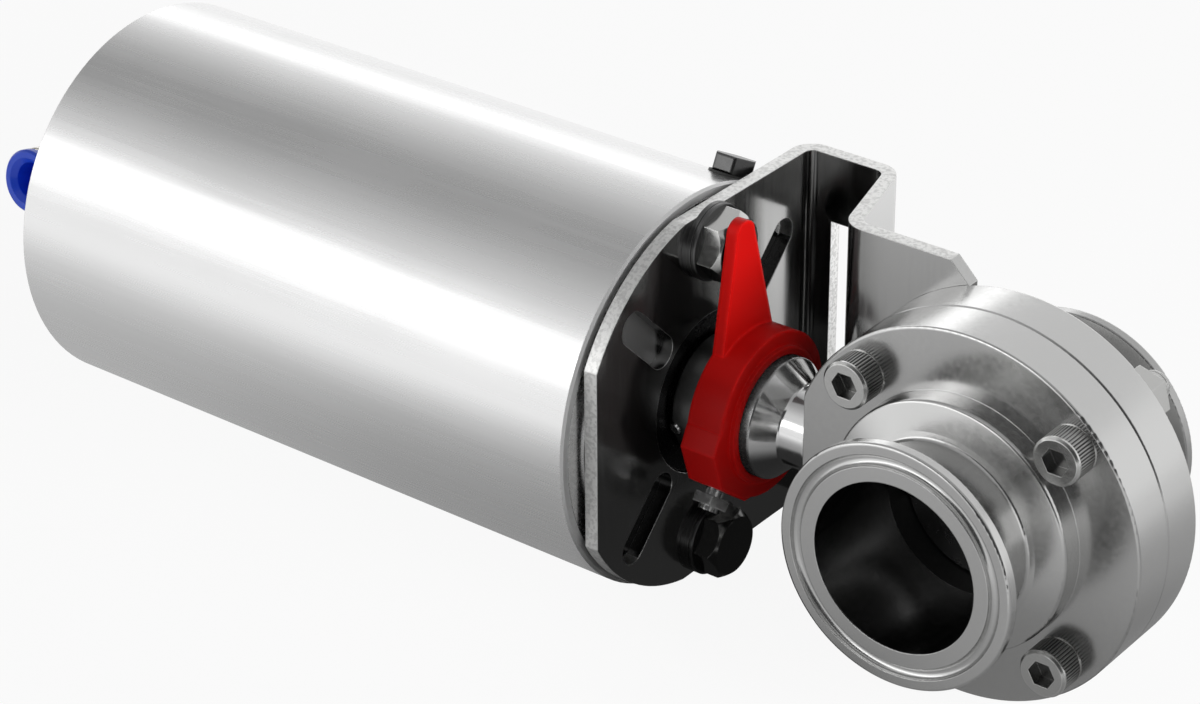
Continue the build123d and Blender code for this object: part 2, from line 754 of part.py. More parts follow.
# Cam shaft: journal, collar and a tube with two right-handed helical slots.
# A slot climbs the stroke while it turns the pin's quarter turn.
cam_pitch = stroke * 360 / turn
cam_mean = (cam_radius + cam_bore) / 2
collar_face_x = cap_in_x - thrust_thick - fixed
with BuildPart() as cam_shaft:
    with BuildSketch():
        with BuildLine():
            Polyline(
                (cam_end_x, valve_y + cam_bore),
                (cam_end_x, valve_y + cam_radius),
                (collar_x, valve_y + cam_radius),
                (collar_x, valve_y + collar_radius),
                (collar_face_x, valve_y + collar_radius),
                (collar_face_x, valve_y + shaft_radius),
                (shaft_end_x, valve_y + shaft_radius),
                (shaft_end_x, valve_y),
                (collar_x - 2, valve_y),
                (collar_x - 2, valve_y + cam_bore),
                close=True,
            )
        make_face()
    revolve(axis=stem_axis)
    for half_turn in (0, 180):
        path = Helix(cam_pitch, stroke, cam_mean, (pin_x, valve_y, 0), (1, 0, 0), mode=Mode.PRIVATE)
        path = path.rotate(stem_axis, half_turn)
        with BuildSketch(Plane(origin=path @ 0, x_dir=(0, 0, 1), z_dir=path % 0)):
            Rectangle(cam_radius - cam_bore + 3, cam_slot)
        sweep(path=path, is_frenet=True, mode=Mode.SUBTRACT)
    # round ends of the slots
    for along, angle in ((0, 90), (stroke, 90 + turn)):
        with BuildSketch(radial_plane(pin_x + along, angle, 0)):
            Circle(cam_slot / 2)
        extrude(amount=cam_radius + 1, both=True, mode=Mode.SUBTRACT)
    with BuildSketch(radial_plane(cross_pin_x, cross_pin_angle, 0)):
        Circle(cross_pin_radius + fixed)
    extrude(amount=shaft_radius + 1, both=True, mode=Mode.SUBTRACT)
cam_shaft.part.label = "cam_shaft"
export_step(cam_shaft.part, "parts/cam_shaft.step")

# Guide sleeve: straight slots keep the piston from turning
with BuildPart() as guide_sleeve:
    with BuildSketch(stem_plane(sleeve_end_x)):
        Circle(sleeve_radius)
        Circle(sleeve_bore, mode=Mode.SUBTRACT)
    extrude(amount=cap_in_x - sleeve_end_x)
    with BuildSketch(stem_plane(cap_in_x)):
        Circle(sleeve_flange)
        Circle(sleeve_bore, mode=Mode.SUBTRACT)
        with PolarLocations(sleeve_screw_ring, 4, 45):
            Circle(sleeve_screw_radius + 0.2, mode=Mode.SUBTRACT)
    extrude(amount=-sleeve_flange_thick)
    with BuildSketch(radial_plane(pin_x + stroke / 2, 90, 0)):
        SlotCenterToCenter(stroke, cam_slot)
    extrude(amount=sleeve_radius + 1, both=True, mode=Mode.SUBTRACT)
guide_sleeve.part.label = "guide_sleeve"
export_step(guide_sleeve.part, "parts/guide_sleeve.step")

with BuildPart() as guide_screws:
    with BuildSketch(stem_plane(cap_in_x - sleeve_flange_thick)):
        with PolarLocations(sleeve_screw_ring, 4, 45):
            Circle(sleeve_screw_head)
    extrude(amount=-sleeve_screw_high)
    with BuildSketch(stem_plane(cap_in_x - sleeve_flange_thick)):
        with PolarLocations(sleeve_screw_ring, 4, 45):
            Circle(sleeve_screw_radius)
    extrude(amount=sleeve_screw_long)
guide_screws.part.label = "guide_screws"
export_step(guide_screws.part, "parts/guide_screws.step")

# Piston with its skirt, the seal's groove and the wear ring's groove
with BuildPart() as piston:
    with BuildSketch():
        with BuildLine():
            Polyline(
                (piston_back_x, valve_y),
                (piston_back_x, valve_y + piston_radius),
                (piston_front_x, valve_y + piston_radius),
                (piston_front_x, valve_y + skirt_radius),
                (skirt_front_x, valve_y + skirt_radius),
                (skirt_front_x, valve_y + skirt_bore),
                (piston_recess_x, valve_y + skirt_bore),
                (piston_recess_x, valve_y),
                close=True,
            )
        make_face()
        for place, wide, deep in (
            (piston_seal_at, piston_seal_wide, piston_seal_deep),
            (wear_ring_at, wear_ring_wide, wear_ring_deep),
        ):
            with Locations((piston_back_x + place, valve_y + piston_radius)):
                Rectangle(wide + groove_clear, 2 * (deep + groove_clear), mode=Mode.SUBTRACT)
    revolve(axis=stem_axis)
    with BuildSketch(radial_plane(pin_x, 90, 0)):
        Circle(pin_radius + fixed)
    extrude(amount=skirt_radius + 1, both=True, mode=Mode.SUBTRACT)
piston.part.label = "piston"
export_step(piston.part, "parts/piston.step")

ring_out = tube_bore - fixed
with BuildPart() as piston_seal:
    with BuildSketch():
        with Locations((piston_back_x + piston_seal_at, valve_y + ring_out - piston_seal_deep / 2)):
            Rectangle(piston_seal_wide, piston_seal_deep)
    revolve(axis=stem_axis)
piston_seal.part.label = "piston_seal"
export_step(piston_seal.part, "parts/piston_seal.step")

with BuildPart() as piston_wear_ring:
    with BuildSketch():
        with Locations((piston_back_x + wear_ring_at, valve_y + ring_out - wear_ring_deep / 2)):
            Rectangle(wear_ring_wide, wear_ring_deep)
    revolve(axis=stem_axis)
piston_wear_ring.part.label = "piston_wear_ring"
export_step(piston_wear_ring.part, "parts/piston_wear_ring.step")

with BuildPart() as cam_pin:
    with BuildSketch(radial_plane(pin_x, 90, 0)):
        Circle(pin_radius)
    extrude(amount=pin_half, both=True)
    chamfer(cam_pin.edges().filter_by(GeomType.CIRCLE), 0.5)
cam_pin.part.label = "cam_pin"
export_step(cam_pin.part, "parts/cam_pin.step")

# Return spring between the cap and the piston
spring_start = piston_front_x + spring_wire + spring_gap
spring_long = cap_in_x - spring_wire - spring_gap - spring_start
with BuildPart() as return_spring:
    with BuildLine():
        coil = Helix(
            pitch=spring_long / spring_turns,
            height=spring_long,
            radius=spring_mean,
            center=(spring_start, valve_y, 0),
            direction=(1, 0, 0),
        )
    with BuildSketch(Plane(origin=coil @ 0, x_dir=(0, 0, 1), z_dir=coil % 0)):
        Circle(spring_wire)
    sweep(path=coil, is_frenet=True)
return_spring.part.label = "return_spring"
export_step(return_spring.part, "parts/return_spring.step")

# Vent plug on a thin washer
vent_seat = tube_radius - vent_spot + vent_washer_thick
with BuildPart() as vent_washer:
    with BuildSketch(radial_plane(vent_x, vent_angle, tube_radius - vent_spot)):
        Circle(vent_washer_radius)
        Circle(vent_radius + fixed, mode=Mode.SUBTRACT)
    extrude(amount=vent_washer_thick)
vent_washer.part.label = "vent_washer"
export_step(vent_washer.part, "parts/vent_washer.step")

with BuildPart() as vent_plug:
    with BuildSketch(radial_plane(vent_x, vent_angle, vent_seat)):
        RegularPolygon(vent_flats / 2, 6, major_radius=False)
    extrude(amount=vent_high)
    chamfer(vent_plug.faces().sort_by(Axis.Z)[-1].edges(), 0.4)
    with BuildSketch(radial_plane(vent_x, vent_angle, vent_seat)):
        Circle(vent_radius)
    extrude(amount=-vent_stem)
vent_plug.part.label = "vent_plug"
export_step(vent_plug.part, "parts/vent_plug.step")

# Stud of the elbow fitting, screwed into the rear cap
stud_seat_x = rear_cap_out_x - stud_washer
with BuildPart() as fitting_seal:
    with BuildSketch(stem_plane(rear_cap_out_x)):
        Circle(stud_flats / 2)
        Circle(stud_radius + fixed, mode=Mode.SUBTRACT)
    extrude(amount=-stud_washer)
fitting_seal.part.label = "fitting_seal"
export_step(fitting_seal.part, "parts/fitting_seal.step")

with BuildPart() as fitting_stud:
    with BuildSketch(stem_plane(stud_seat_x)):
        RegularPolygon(stud_flats / 2, 6, major_radius=False)
    extrude(amount=stud_top_x - stud_seat_x)
    with BuildSketch(stem_plane(stud_seat_x)):
        Circle(stud_radius)
    extrude(amount=rear_cap_in_x - stud_seat_x)
    with BuildSketch(stem_plane(stud_top_x)):
        Circle(stud_neck_radius)
    extrude(amount=stud_neck_x - stud_top_x)
    with BuildSketch(stem_plane(stud_neck_x)):
        Circle(stud_bore)
    extrude(amount=rear_cap_in_x - stud_neck_x, mode=Mode.SUBTRACT)
fitting_stud.part.label = "fitting_stud"
export_step(fitting_stud.part, "parts/fitting_stud.step")

# Elbow: an upright barrel that swivels on the stud, and the tube arm
outlet_dir = (0, -cos(radians(outlet_tilt)), sin(radians(outlet_tilt)))


def outlet_plane(distance):
    # across the outlet, facing out of its mouth
    start = (outlet_x, valve_y + distance * outlet_dir[1], distance * outlet_dir[2])
    return Plane(origin=start, x_dir=(1, 0, 0), z_dir=outlet_dir)


swivel_face_x = stud_top_x - 0.2
with BuildPart() as fitting_elbow:
    with BuildSketch(stem_plane(elbow_end_x)):
        Circle(elbow_radius)
    extrude(amount=swivel_face_x - elbow_end_x)
    fillet(fitting_elbow.faces().sort_by(Axis.X)[0].edges(), 2.0)
    with BuildSketch(outlet_plane(0)):
        Circle(arm_radius)
    extrude(amount=arm_long)
    chamfer(fitting_elbow.faces().filter_by(GeomType.PLANE).sort_by(Axis.Y)[0].edges(), 0.4)
    with BuildSketch(stem_plane(swivel_face_x)):
        Circle(stud_neck_radius + running)
    extrude(amount=stud_neck_x - 0.3 - swivel_face_x, mode=Mode.SUBTRACT)
    with BuildSketch(outlet_plane(0)):
        Circle(elbow_bore)
    extrude(amount=arm_long, mode=Mode.SUBTRACT)
    with BuildSketch(stem_plane(outlet_x)):
        Circle(elbow_bore)
    extrude(amount=swivel_face_x - outlet_x, mode=Mode.SUBTRACT)
    with BuildSketch(outlet_plane(tube_stop)):
        Circle(air_tube_radius)
    extrude(amount=arm_long, mode=Mode.SUBTRACT)
    # seat of the tube seal and of the collar's sleeve
    with BuildSketch(outlet_plane(tube_seal_at)):
        Circle(collar_sleeve + running)
    extrude(amount=arm_long, mode=Mode.SUBTRACT)
fitting_elbow.part.label = "fitting_elbow"
export_step(fitting_elbow.part, "parts/fitting_elbow.step")

with BuildPart() as tube_seal:
    with BuildSketch(outlet_plane(tube_seal_at + groove_clear)):
        Circle(collar_sleeve)
        Circle(air_tube_radius, mode=Mode.SUBTRACT)
    extrude(amount=tube_seal_thick)
tube_seal.part.label = "tube_seal"
export_step(tube_seal.part, "parts/tube_seal.step")

with BuildPart() as grab_ring:
    with BuildSketch(outlet_plane(grab_ring_at)):
        Circle(collar_sleeve)
        Circle(air_tube_radius + 0.1, mode=Mode.SUBTRACT)
    extrude(amount=grab_ring_thick)
grab_ring.part.label = "grab_ring"
export_step(grab_ring.part, "parts/grab_ring.step")

# The collar's sleeve stops short of the grab ring by its travel
sleeve_foot = grab_ring_at + grab_ring_thick + collar_travel + groove_clear
with BuildPart() as release_collar:
    with BuildSketch(outlet_plane(collar_face)):
        Circle(collar_flange)
    extrude(amount=-collar_flange_thick)
    chamfer(release_collar.faces().sort_by(Axis.Y)[0].edges(), 0.5)
    with BuildSketch(outlet_plane(sleeve_foot)):
        Circle(collar_sleeve)
    extrude(amount=collar_face - collar_flange_thick - sleeve_foot)
    with BuildSketch(outlet_plane(collar_face)):
        Circle(air_tube_radius)
    extrude(amount=-arm_long, mode=Mode.SUBTRACT)
    rounds = release_collar.edges().filter_by(GeomType.CIRCLE)
    mouth = rounds.filter_by(lambda e: abs(e.radius - air_tube_radius) < 0.01)
    chamfer(mouth.sort_by(Axis.Y)[0], collar_funnel)
release_collar.part.label = "release_collar"
export_step(release_collar.part, "parts/release_collar.step")
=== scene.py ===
import math

import bpy
from mathutils import Matrix, Vector


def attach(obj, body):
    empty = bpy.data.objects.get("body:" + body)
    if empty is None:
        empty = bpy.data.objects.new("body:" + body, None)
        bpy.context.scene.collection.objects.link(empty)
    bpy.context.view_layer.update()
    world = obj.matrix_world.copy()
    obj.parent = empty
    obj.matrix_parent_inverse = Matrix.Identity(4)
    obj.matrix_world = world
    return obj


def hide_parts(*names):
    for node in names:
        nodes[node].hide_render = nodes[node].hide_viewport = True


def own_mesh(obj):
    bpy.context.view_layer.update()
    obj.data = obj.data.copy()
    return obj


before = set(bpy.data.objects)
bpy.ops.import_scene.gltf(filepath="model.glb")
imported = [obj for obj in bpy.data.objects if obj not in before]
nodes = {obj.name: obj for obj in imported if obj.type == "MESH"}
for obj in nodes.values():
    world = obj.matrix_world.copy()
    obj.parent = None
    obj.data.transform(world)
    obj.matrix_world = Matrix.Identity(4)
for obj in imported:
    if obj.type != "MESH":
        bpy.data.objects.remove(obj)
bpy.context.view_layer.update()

# Metres, as in the frame: X along the stem, Y along the pipe, Z up
MM = 0.001
VALVE_Y = 33 * MM
SCREW_OFF = 22.981 * MM
FLOOR = -42.4 * MM
BEVEL_SAMPLES = 4


def grey(value):
    return (value, value, value)


class Graph:
    """Short ways to write a shader's node tree."""

    def __init__(self, tree):
        self.tree = tree

    def node(self, kind, **values):
        made = self.tree.nodes.new(kind)
        for key, value in values.items():
            setattr(made, key, value)
        return made

    def link(self, source, target):
        self.tree.links.new(source, target)

    def math(self, operation, a, b=0.0, clamp=False):
        made = self.node("ShaderNodeMath", operation=operation, use_clamp=clamp)
        for socket, value in zip(made.inputs, (a, b)):
            if isinstance(value, (int, float)):
                socket.default_value = value
            else:
                self.link(value, socket)
        return made.outputs[0]

    def times(self, first, *others):
        for value in others:
            first = self.math("MULTIPLY", first, value)
        return first

    def plus(self, a, b):
        return self.math("ADD", a, b)

    def minus(self, a, b):
        return self.math("SUBTRACT", a, b)

    def size(self, a):
        return self.math("ABSOLUTE", a)

    def above(self, a, limit):
        return self.math("GREATER_THAN", a, limit)

    def below(self, a, limit):
        return self.math("LESS_THAN", a, limit)

    def across(self, u, v):
        """The length of the pair u, v."""
        return self.math("SQRT", self.plus(self.times(u, u), self.times(v, v)))

    def between(self, value, low, high, out_low=0.0, out_high=1.0, kind="LINEAR"):
        """Carries low to out_low and high to out_high, and holds it beyond them."""
        made = self.node("ShaderNodeMapRange", interpolation_type=kind)
        self.link(value, made.inputs["Value"])
        made.inputs["From Min"].default_value = low
        made.inputs["From Max"].default_value = high
        made.inputs["To Min"].default_value = out_low
        made.inputs["To Max"].default_value = out_high
        return made.outputs[0]

    def ramp(self, value, low, high, out_low=0.0, out_high=1.0):
        """As between, with soft ends."""
        return self.between(value, low, high, out_low, out_high, kind="SMOOTHSTEP")

    def split(self, output):
        """The X, Y and Z of one of the texture coordinates."""
        coords = self.node("ShaderNodeTexCoord")
        made = self.node("ShaderNodeSeparateXYZ")
        self.link(coords.outputs[output], made.inputs[0])
        return made.outputs

    def place(self):
        """The point's X, Y and Z in the object's own metres."""
        return self.split("Object")

    def white_seen(self):
        """1 for a ray that should meet the plain white background, else 0."""
        path = self.node("ShaderNodeLightPath").outputs
        seen = self.math("MAXIMUM", path["Is Camera Ray"], path["Is Glossy Ray"])
        return self.math("MAXIMUM", seen, path["Is Transmission Ray"])


class Surface(Graph):
    """One procedural material: a metal, plastic or rubber with grain, wear and relief."""

    def __init__(self, name, color, metallic, rough, coat=0.0):
        self.material = bpy.data.materials.new(name)
        self.material.use_nodes = True
        super().__init__(self.material.node_tree)
        self.shader = self.tree.nodes["Principled BSDF"]
        self.shader.inputs["Metallic"].default_value = metallic
        self.shader.inputs["Coat Weight"].default_value = coat
        self.shader.inputs["Coat Roughness"].default_value = 0.15
        self.color = self.node("ShaderNodeRGB").outputs[0]
        self.color.default_value = (*color, 1)
        self.rough = self.node("ShaderNodeValue").outputs[0]
        self.rough.default_value = rough
        self.height = 0.0

    def facing(self):
        """The surface normal's X, Y and Z in the object's own axes."""
        return self.split("Normal")

    def noise(self, scale, stretch=(1, 1, 1), detail=3.0):
        """Noise between 0 and 1 in the object's own metres; stretch lengthens it along an axis."""
        coords = self.node("ShaderNodeTexCoord")
        mapping = self.node("ShaderNodeMapping")
        mapping.inputs["Scale"].default_value = [1 / s for s in stretch]
        self.link(coords.outputs["Object"], mapping.inputs["Vector"])
        made = self.node("ShaderNodeTexNoise")
        made.inputs["Scale"].default_value = scale
        made.inputs["Detail"].default_value = detail
        self.link(mapping.outputs[0], made.inputs["Vector"])
        return made.outputs["Fac"]

    def edges(self, radius):
        """1 within about radius of a sharp edge, 0 on flat metal."""
        bevel = self.node("ShaderNodeBevel", samples=BEVEL_SAMPLES)
        bevel.inputs["Radius"].default_value = radius
        plain = self.node("ShaderNodeNewGeometry")
        dot = self.node("ShaderNodeVectorMath", operation="DOT_PRODUCT")
        self.link(bevel.outputs[0], dot.inputs[0])
        self.link(plain.outputs["Normal"], dot.inputs[1])
        return self.between(dot.outputs["Value"], 0.995, 0.9)

    def tint(self, mask, color):
        """Mixes color in where mask is 1."""
        made = self.node("ShaderNodeMix", data_type="RGBA")
        self.link(mask, made.inputs["Factor"])
        self.link(self.color, made.inputs[6])
        made.inputs[7].default_value = (*color, 1)
        self.color = made.outputs[2]

    def shade(self, mask, low, high):
        """Multiplies the colour by low where mask is 0 and by high where it is 1."""
        made = self.node("ShaderNodeVectorMath", operation="SCALE")
        self.link(self.color, made.inputs[0])
        self.link(self.between(mask, 0, 1, low, high), made.inputs["Scale"])
        self.color = made.outputs[0]

    def roughen(self, mask, amount=1.0):
        self.rough = self.math("ADD", self.rough, self.times(mask, amount), clamp=True)

    def relief(self, height, depth):
        """Adds a bump of that depth in metres."""
        self.height = self.plus(self.times(height, depth), self.height)

    def finish(self, round_edges=0.2 * MM):
        """Joins all of it to the shader, with sharp edges rounded by round_edges."""
        bevel = self.node("ShaderNodeBevel", samples=BEVEL_SAMPLES)
        bevel.inputs["Radius"].default_value = round_edges
        bump = self.node("ShaderNodeBump")
        bump.inputs["Distance"].default_value = 1.0
        self.link(self.height, bump.inputs["Height"])
        self.link(bevel.outputs[0], bump.inputs["Normal"])
        self.link(self.color, self.shader.inputs["Base Color"])
        self.link(self.rough, self.shader.inputs["Roughness"])
        self.link(bump.outputs[0], self.shader.inputs["Normal"])
        return self.material


def metal(name, color, rough, grain=(1, 1, 1), wear=0.25, fine=0.0015 * MM, coarse=0.06):
    """Bare metal with directional grain, faint cloudiness and brighter worn edges."""
    s = Surface(name, color, 1.0, rough)
    cloud = s.noise(scale=28, detail=4)
    lines = s.noise(scale=900, stretch=grain, detail=4)
    s.shade(cloud, 1 - coarse, 1 + coarse)
    s.shade(lines, 1 - coarse / 2, 1 + coarse / 2)
    s.roughen(s.between(cloud, 0.3, 0.7, -0.02, 0.03))
    s.roughen(s.between(lines, 0.3, 0.7, -0.03, 0.04))
    patches = s.between(s.noise(scale=160), 0.35, 0.6, 0.5, 1.0)
    s.shade(s.times(s.edges(0.4 * MM), patches, wear), 1.0, 1.6)
    s.relief(lines, fine)
    return s


def soft(name, color, rough, coat=0.0, grain=0.004 * MM):
    """Plastic or rubber with a slight skin, handling marks and paler edges."""
    s = Surface(name, color, 0.0, rough, coat)
    cloud = s.noise(scale=45, detail=4)
    s.shade(cloud, 0.93, 1.06)
    s.roughen(s.between(cloud, 0.35, 0.7, -0.04, 0.07))
    s.shade(s.times(s.edges(0.3 * MM), 0.5), 1.0, 1.35)
    s.relief(s.noise(scale=1400, detail=2), grain)
    return s


# Cylinder: satin tube, polished along its length, with rougher end faces
tube = metal(
    "tube_satin", grey(0.79), 0.26, grain=(60, 1, 1), wear=0.2, fine=0.0008 * MM, coarse=0.03
)
streak = tube.noise(scale=260, stretch=(90, 1, 1), detail=2)
tube.roughen(tube.between(streak, 0.35, 0.7, -0.02, 0.04))
nx, ny, nz = tube.facing()
tube.roughen(tube.above(tube.size(nx), 0.5), 0.35)
tube_steel = tube.finish()

# Caps: turned steel, with painted shade where the bracket's slots show it and one painted light
# patch there
CAP_SHADE_X = -69.6 * MM
LIT_PATCH_Y = (20 * MM, 19 * MM)
LIT_PATCH_Z = (8 * MM, 12 * MM)
cap = metal("cap_turned", grey(0.7), 0.26, coarse=0.07)
x, y, z = cap.place()
# Painted shade on the cap face seen through the slots, with a paler painted light patch
seen = cap.above(x, CAP_SHADE_X)
lit_patch = cap.times(cap.between(y, *LIT_PATCH_Y), cap.between(z, *LIT_PATCH_Z), seen)
cap.tint(seen, grey(0.07))
cap.tint(lit_patch, grey(0.5))
cap.roughen(lit_patch, 0.3)
cap_steel = cap.finish()

# Valve body: turned round the pipe axis, with painted shade in the polished bore, one painted
# reflection stripe in it, and painted shadow on the rear neck
PORT_RADIUS = 17.6 * MM
PORT_HALF = 32.6 * MM
RING_MARKS = 21000
REFLECTION_ANGLE = math.radians(-157)
REFLECTION_Y = (24 * MM, 2 * MM)
REAR_SHADOW_Y = (46 * MM, 52 * MM)
REAR_SHADOW_RADIUS = (29 * MM, 24 * MM)
turned = metal("body_turned", (0.62, 0.62, 0.615), 0.2, coarse=0.04)
x, y, z = turned.place()
radius = turned.across(x, z)
slant = turned.plus(radius, turned.times(y, 0.7))
turned.relief(turned.math("SINE", turned.times(slant, RING_MARKS)), 0.0004 * MM)
inside = turned.below(turned.size(turned.minus(y, VALVE_Y)), PORT_HALF)
bore = turned.times(turned.below(radius, PORT_RADIUS), inside)
# Painted shade darkens the bore
turned.shade(bore, 1.0, 0.3)
# A pale painted reflection stripe along one side of the bore
around = turned.size(turned.minus(turned.math("ARCTAN2", z, x), REFLECTION_ANGLE))
reflection_stripe = turned.times(turned.between(around, 0.5, 0.1), turned.between(y, *REFLECTION_Y))
turned.shade(turned.times(bore, reflection_stripe), 1.0, 3.0)
# Painted shadow on the rear neck
rear_shadow = turned.times(turned.between(y, *REAR_SHADOW_Y), turned.between(radius, *REAR_SHADOW_RADIUS))
turned.shade(rear_shadow, 1.0, 0.6)
turned_steel = turned.finish(0.25 * MM)

# Disc: its dark colour is painted shade deep in the bore
disc_shaded_steel = metal("disc_polished", grey(0.35), 0.25, coarse=0.04).finish()

# Bracket: polished sheet with painted shade inside the fold, sawn grainy edges and a painted
# highlight along the edges
FOLD_SHADE_X = (-50 * MM, -58 * MM)
PLATE_X = -65.9 * MM
PLATE_RIM = 36.2 * MM
SHEET_END_Z = 39 * MM
WINDOW_X = (-62 * MM, -51.5 * MM)
WINDOW_Y = 66 * MM
sheet = metal("bracket_sheet", (0.56, 0.56, 0.555), 0.14, grain=(1, 1, 12), wear=0.4, coarse=0.05)
x, y, z = sheet.place()
nx, ny, nz = sheet.facing()
# Painted shade on the inner faces of the fold
fold_shade = sheet.times(sheet.between(ny, -0.3, -0.7), sheet.between(x, *FOLD_SHADE_X))
sheet.shade(fold_shade, 1.0, 0.5)
far = sheet.across(sheet.minus(y, VALVE_Y), z)
rim = sheet.times(
    sheet.below(sheet.size(nx), 0.3),
    sheet.below(x, PLATE_X),
    sheet.above(far, PLATE_RIM),
)
ends = sheet.times(sheet.above(sheet.size(nz), 0.85), sheet.above(sheet.size(z), SHEET_END_Z))
jambs = sheet.times(
    sheet.above(sheet.size(nx), 0.7),
    sheet.above(x, WINDOW_X[0]),
    sheet.below(x, WINDOW_X[1]),
    sheet.above(y, WINDOW_Y),
)
cut = sheet.math("MAXIMUM", sheet.math("MAXIMUM", rim, ends), jambs)
crumbs = sheet.noise(scale=1300, detail=4)
sheet.tint(cut, (0.8, 0.8, 0.79))
sheet.tint(jambs, (0.97, 0.97, 0.96))
sheet.shade(sheet.times(cut, sheet.between(crumbs, 0.45, 0.6)), 1.0, 0.78)
sheet.roughen(sheet.minus(cut, jambs), 0.28)
sheet.relief(sheet.times(cut, crumbs), 0.012 * MM)
# Painted highlight: the sheet's edges tinted pale
edge_highlight = sheet.times(sheet.edges(0.3 * MM), 0.7)
sheet.tint(edge_highlight, (0.85, 0.85, 0.84))
sheet.roughen(edge_highlight, 0.2)
sheet_steel = sheet.finish(0.3 * MM)

# Coupling: turned round the stem axis and polished; rough and darkened by painted shade behind the
# indicator, with a band of painted shade where it meets the indicator ring
ROOT_X = -58.7 * MM
BAND_BACK_X = (-49.8 * MM, -49.5 * MM)
BAND_FRONT_X = (-47.2 * MM, -47.5 * MM)
TURNING_MARKS = 26000
polish = metal("coupling_polished", grey(0.72), 0.1, wear=0.4, coarse=0.04)
x, y, z = polish.place()
polish.relief(polish.math("SINE", polish.times(x, TURNING_MARKS)), 0.0003 * MM)
# Painted shade on the coupling's root behind the indicator
root_shade = polish.below(x, ROOT_X)
polish.tint(root_shade, grey(0.14))
polish.shade(polish.times(root_shade, polish.noise(scale=220, detail=4)), 1.0, 1.5)
polish.roughen(root_shade, 0.25)
# Painted shade on the band just in front of the indicator ring
ring_shade_band = polish.times(polish.between(x, *BAND_BACK_X), polish.between(x, *BAND_FRONT_X))
polish.roughen(ring_shade_band, 0.15)
polish.shade(ring_shade_band, 1.0, 0.45)
coupling_steel = polish.finish()

# Body screws: knurled heads round each screw's own axis with painted shade in the knurl and the
# sockets, threads towards the nuts
KNURL_Y = (17.6 * MM, 22.4 * MM)
KNURL_RADIUS = 4.3 * MM
KNURL_TEETH = 24
SOCKET_Y = (16.76 * MM, 20.5 * MM)
SOCKET_RADIUS = 2.95 * MM
THREAD_Y = 43 * MM
THREAD_PITCH = 1.0 * MM
screw = metal("screw_plain", (0.66, 0.66, 0.65), 0.22, wear=0.6, coarse=0.07)
x, y, z = screw.place()
nx, ny, nz = screw.facing()
u = screw.minus(screw.size(x), SCREW_OFF)
v = screw.minus(screw.size(z), SCREW_OFF)
far = screw.across(u, v)
side = screw.below(screw.size(ny), 0.4)
knurl = screw.times(
    side,
    screw.above(y, KNURL_Y[0]),
    screw.below(y, KNURL_Y[1]),
    screw.above(far, KNURL_RADIUS),
)
teeth = screw.size(screw.math("SINE", screw.times(screw.math("ARCTAN2", v, u), KNURL_TEETH)))
# Painted shade: the knurl darkened, nearly black in its grooves
screw.shade(screw.times(knurl, screw.between(teeth, 0.1, 0.8, 1.0, 0.45)), 1.0, 0.04)
# Painted shade inside the hexagon sockets
socket = screw.times(
    screw.below(far, SOCKET_RADIUS),
    screw.above(y, SOCKET_Y[0]),
    screw.below(y, SOCKET_Y[1]),
)
screw.shade(socket, 1.0, 0.5)
screw.roughen(knurl, 0.12)
screw.relief(screw.times(knurl, teeth), 0.25 * MM)
thread = screw.math("SINE", screw.times(y, 2 * math.pi / THREAD_PITCH))
screw.relief(screw.times(side, screw.above(y, THREAD_Y), thread), 0.15 * MM)
screw_steel = screw.finish()

# Hexagon bolts: the lower one darkened by painted shade
bolt = metal("bolt_bright", (0.6, 0.6, 0.59), 0.15, wear=0.5, coarse=0.05)
x, y, z = bolt.place()
# Painted shade on the lower bolt
bolt.shade(bolt.between(z, 2 * MM, -2 * MM), 1.0, 0.22)
bolt_steel = bolt.finish(0.3 * MM)

# Small metal pieces
# The washers' near-black colour is painted shade
washer_shaded_steel = metal("washer_dark", grey(0.13), 0.3, wear=1.0, coarse=0.1).finish()
clamp_steel = metal("clamp_nut", grey(0.86), 0.14, wear=0.4).finish(0.3 * MM)
nut_steel = metal("nut_plain", (0.55, 0.55, 0.54), 0.2, coarse=0.05).finish(0.3 * MM)
dark_plug = metal("plug_dark", grey(0.11), 0.3, wear=0.8, coarse=0.12).finish(0.3 * MM)
pin_steel = metal("pin_ground", grey(0.7), 0.2, wear=0.3).finish()
spring_steel = metal("spring_drawn", (0.35, 0.35, 0.36), 0.35).finish()
aluminium = metal("piston_machined", (0.7, 0.7, 0.71), 0.3).finish()
bronze = metal("bush_bronze", (0.62, 0.4, 0.17), 0.3).finish()
nickel = metal("fitting_nickel", (0.75, 0.72, 0.66), 0.16, wear=0.3).finish(0.3 * MM)

# Red plastic with painted light: the pointer's side, the rounded edges and the upper part painted
# brighter; its reflections in metal are a painted neutral dark
LIT_SIDE_Z = (11 * MM, 15 * MM)
red = soft("indicator_red", (0.66, 0.005, 0.004), 0.36)
red.shader.inputs["Specular IOR Level"].default_value = 0.12
x, y, z = red.place()
nx, ny, nz = red.facing()
# Painted light on the pointer's side faces
lit_pointer_side = red.times(red.between(ny, -0.3, -0.7), red.between(z, *LIT_SIDE_Z))
red.shade(lit_pointer_side, 1.0, 1.4)
# Painted highlight on the rounded edges
red.shade(red.edges(1.4 * MM), 1.0, 1.3)
# Painted light: darker towards the bottom, brighter towards the top
red.shade(red.between(z, 8 * MM, 34 * MM), 0.82, 1.12)
# Painted reflection: glossy rays see the red as a neutral dark
painted_reflection = red.node("ShaderNodeLightPath").outputs["Is Glossy Ray"]
red.tint(painted_reflection, (0.08, 0.07, 0.07))
red_plastic = red.finish(0.9 * MM)

# Other plastics and rubber
blue_plastic = soft("collar_blue", (0.012, 0.1, 1.0), 0.3, coat=0.1).finish(0.3 * MM)
bush_plastic = soft("bush_cream", (0.82, 0.8, 0.74), 0.45).finish()
rubber = soft("rubber_black", grey(0.022), 0.5, grain=0.01 * MM).finish()

